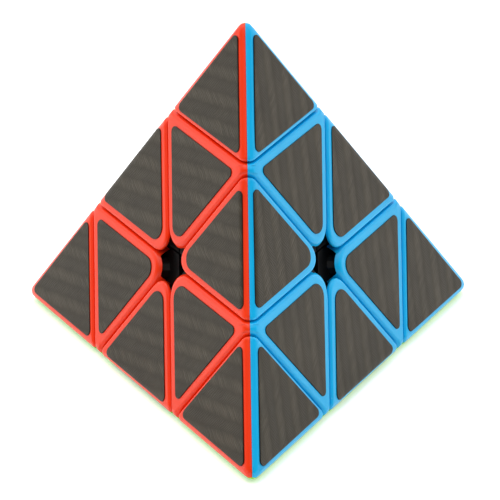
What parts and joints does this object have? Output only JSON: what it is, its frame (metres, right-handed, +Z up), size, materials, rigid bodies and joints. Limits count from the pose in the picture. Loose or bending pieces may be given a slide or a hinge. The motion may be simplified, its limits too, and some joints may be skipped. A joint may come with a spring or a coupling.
{
  "type": "pyramid twisty puzzle",
  "caption": "Tetrahedral twisty puzzle with turning corner layers and tips round a screwed ball core, in coloured plastic shells with dark woven-look face stickers.",
  "frame": {"origin": "centre of the ball core, where the four turning axes cross; it is also the centre of the tetrahedron", "axes": "+Z up through the top tip; -Y towards the front corner, so the red face looks to -X and -Y, the blue face to +X and -Y, the yellow face to +Y, and the green face down"},
  "size_m": [0.0942, 0.0818, 0.077],
  "materials": {
    "red_plastic": "satin",
    "blue_plastic": "satin",
    "green_plastic": "satin",
    "yellow_plastic": "satin",
    "frame_plastic": "matte",
    "core_plastic": "satin",
    "screw_steel": "satin",
    "spring_steel": "satin",
    "face_sticker": "satin"
  },
  "bodies": {
    "core": {"core": "core_plastic", "screw_top": "screw_steel", "screw_front": "screw_steel", "screw_right": "screw_steel", "screw_left": "screw_steel", "spring_top": "spring_steel", "spring_front": "spring_steel", "spring_right": "spring_steel", "spring_left": "spring_steel"},
    "axial_top": {"axial_top_frame": "frame_plastic", "axial_top_shell_yellow": "yellow_plastic", "axial_top_shell_red": "red_plastic", "axial_top_shell_blue": "blue_plastic"},
    "tip_top": {"tip_top_frame": "frame_plastic", "tip_top_shell_yellow": "yellow_plastic", "tip_top_shell_red": "red_plastic", "tip_top_shell_blue": "blue_plastic"},
    "axial_front": {"axial_front_frame": "frame_plastic", "axial_front_shell_green": "green_plastic", "axial_front_shell_red": "red_plastic", "axial_front_shell_blue": "blue_plastic"},
    "tip_front": {"tip_front_frame": "frame_plastic", "tip_front_shell_green": "green_plastic", "tip_front_shell_red": "red_plastic", "tip_front_shell_blue": "blue_plastic"},
    "axial_right": {"axial_right_frame": "frame_plastic", "axial_right_shell_green": "green_plastic", "axial_right_shell_yellow": "yellow_plastic", "axial_right_shell_blue": "blue_plastic"},
    "tip_right": {"tip_right_frame": "frame_plastic", "tip_right_shell_green": "green_plastic", "tip_right_shell_yellow": "yellow_plastic", "tip_right_shell_blue": "blue_plastic"},
    "axial_left": {"axial_left_frame": "frame_plastic", "axial_left_shell_green": "green_plastic", "axial_left_shell_yellow": "yellow_plastic", "axial_left_shell_red": "red_plastic"},
    "tip_left": {"tip_left_frame": "frame_plastic", "tip_left_shell_green": "green_plastic", "tip_left_shell_yellow": "yellow_plastic", "tip_left_shell_red": "red_plastic"},
    "edge_top_front": {"edge_top_front_frame": "frame_plastic", "edge_top_front_shell_red": "red_plastic", "edge_top_front_shell_blue": "blue_plastic"},
    "edge_top_right": {"edge_top_right_frame": "frame_plastic", "edge_top_right_shell_yellow": "yellow_plastic", "edge_top_right_shell_blue": "blue_plastic"},
    "edge_top_left": {"edge_top_left_frame": "frame_plastic", "edge_top_left_shell_yellow": "yellow_plastic", "edge_top_left_shell_red": "red_plastic"},
    "edge_front_right": {"edge_front_right_frame": "frame_plastic", "edge_front_right_shell_green": "green_plastic", "edge_front_right_shell_blue": "blue_plastic"},
    "edge_front_left": {"edge_front_left_frame": "frame_plastic", "edge_front_left_shell_green": "green_plastic", "edge_front_left_shell_red": "red_plastic"},
    "edge_right_left": {"edge_right_left_frame": "frame_plastic", "edge_right_left_shell_green": "green_plastic", "edge_right_left_shell_yellow": "yellow_plastic"}
  },
  "joints": [
    {"name": "layer_top", "type": "hinge", "parent": "core", "child": "axial_top", "pos_m": [0, 0, 0], "axis": [0, 0, 1], "continuous": true},
    {"name": "layer_front", "type": "hinge", "parent": "core", "child": "axial_front", "pos_m": [0, 0, 0], "axis": [0, -0.9428, -0.3333], "range_deg": [-360, 360]},
    {"name": "layer_right", "type": "hinge", "parent": "core", "child": "axial_right", "pos_m": [0, 0, 0], "axis": [0.8165, 0.4714, -0.3333], "range_deg": [-360, 360]},
    {"name": "layer_left", "type": "hinge", "parent": "core", "child": "axial_left", "pos_m": [0, 0, 0], "axis": [-0.8165, 0.4714, -0.3333], "range_deg": [-360, 360]},
    {"name": "tip_top_turn", "type": "hinge", "parent": "axial_top", "child": "tip_top", "pos_m": [0, 0, 0], "axis": [0, 0, 1], "continuous": true},
    {"name": "tip_front_turn", "type": "hinge", "parent": "axial_front", "child": "tip_front", "pos_m": [0, 0, 0], "axis": [0, -0.9428, -0.3333], "continuous": true},
    {"name": "tip_right_turn", "type": "hinge", "parent": "axial_right", "child": "tip_right", "pos_m": [0, 0, 0], "axis": [0.8165, 0.4714, -0.3333], "continuous": true},
    {"name": "tip_left_turn", "type": "hinge", "parent": "axial_left", "child": "tip_left", "pos_m": [0, 0, 0], "axis": [-0.8165, 0.4714, -0.3333], "continuous": true},
    {"name": "edge_top_front_turn", "type": "hinge", "parent": "axial_top", "child": "edge_top_front", "pos_m": [0, 0, 0], "axis": [0, -0.9428, -0.3333], "range_deg": [-360, 360]},
    {"name": "edge_top_right_turn", "type": "hinge", "parent": "axial_top", "child": "edge_top_right", "pos_m": [0, 0, 0], "axis": [0.8165, 0.4714, -0.3333], "range_deg": [-360, 360]},
    {"name": "edge_top_left_turn", "type": "hinge", "parent": "axial_top", "child": "edge_top_left", "pos_m": [0, 0, 0], "axis": [-0.8165, 0.4714, -0.3333], "range_deg": [-360, 360]},
    {"name": "edge_front_right_turn", "type": "hinge", "parent": "axial_right", "child": "edge_front_right", "pos_m": [0, 0, 0], "axis": [0, -0.9428, -0.3333], "range_deg": [-360, 360]},
    {"name": "edge_front_left_turn", "type": "hinge", "parent": "axial_front", "child": "edge_front_left", "pos_m": [0, 0, 0], "axis": [-0.8165, 0.4714, -0.3333], "range_deg": [-360, 360]},
    {"name": "edge_right_left_turn", "type": "hinge", "parent": "axial_left", "child": "edge_right_left", "pos_m": [0, 0, 0], "axis": [0.8165, 0.4714, -0.3333], "range_deg": [-360, 360]}
  ],
  "couplings": [
    {"joint": "edge_top_front_turn", "follows": "layer_front", "ratio": 1},
    {"joint": "edge_top_right_turn", "follows": "layer_right", "ratio": 1},
    {"joint": "edge_top_left_turn", "follows": "layer_left", "ratio": 1},
    {"joint": "edge_front_right_turn", "follows": "layer_front", "ratio": 1},
    {"joint": "edge_front_left_turn", "follows": "layer_left", "ratio": 1},
    {"joint": "edge_right_left_turn", "follows": "layer_right", "ratio": 1}
  ]
}
